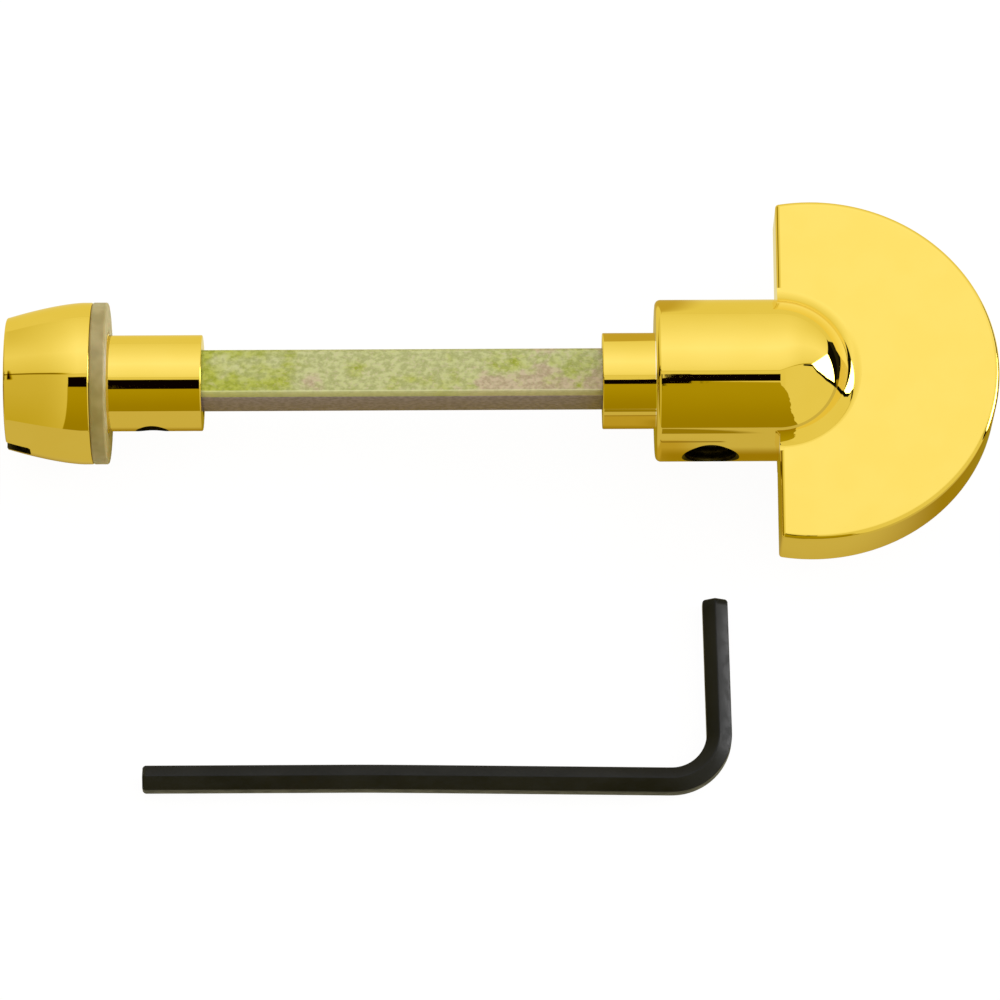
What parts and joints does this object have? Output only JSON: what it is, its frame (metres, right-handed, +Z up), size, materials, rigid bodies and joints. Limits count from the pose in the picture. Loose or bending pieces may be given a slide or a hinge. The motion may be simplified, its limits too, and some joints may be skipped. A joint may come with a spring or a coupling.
{
  "type": "bathroom turn and release set",
  "caption": "Polished gold D-shaped thumb turn and coin release knob on a square spindle, with washer and hex key.",
  "frame": {"origin": "on the spindle axis, at the washer's face that meets the door furniture", "axes": "+X along the spindle towards the thumb turn, +Z up from the surface that the set lies on, set screw facing -Y"},
  "size_m": [0.0979, 0.0582, 0.016],
  "materials": {
    "polished_gold": "polished gold coating on zinc die casting",
    "spring_steel": "oiled spring steel",
    "nylon": "natural tan nylon, turned",
    "passivated_steel": "zinc plated, yellow passivated",
    "black_oxide_steel": "black oxide, oiled"
  },
  "bodies": {
    "washer": {"door_washer": "nylon"},
    "release": {"release_knob": "polished_gold", "release_pin": "spring_steel", "spindle": "passivated_steel"},
    "turn": {"thumb_turn": "polished_gold"},
    "screw": {"turn_screw": "black_oxide_steel"},
    "key": {"hex_key": "black_oxide_steel"}
  },
  "joints": [
    {"name": "quarter_turn", "type": "hinge", "parent": "washer", "child": "release", "pos_m": [0, 0, 0], "axis": [1, 0, 0], "range_deg": [-90, 90]},
    {"name": "turn_slide", "type": "slide", "parent": "release", "child": "turn", "axis": [1, 0, 0], "range_m": [-0.004, 0.003]},
    {"name": "screw_travel", "type": "slide", "parent": "turn", "child": "screw", "axis": [0, -1, 0], "range_m": [0, 0.0016]},
    {"name": "key_lift", "type": "slide", "parent": "washer", "child": "key", "axis": [0, 0, 1], "range_m": [0, 0.03]}
  ]
}
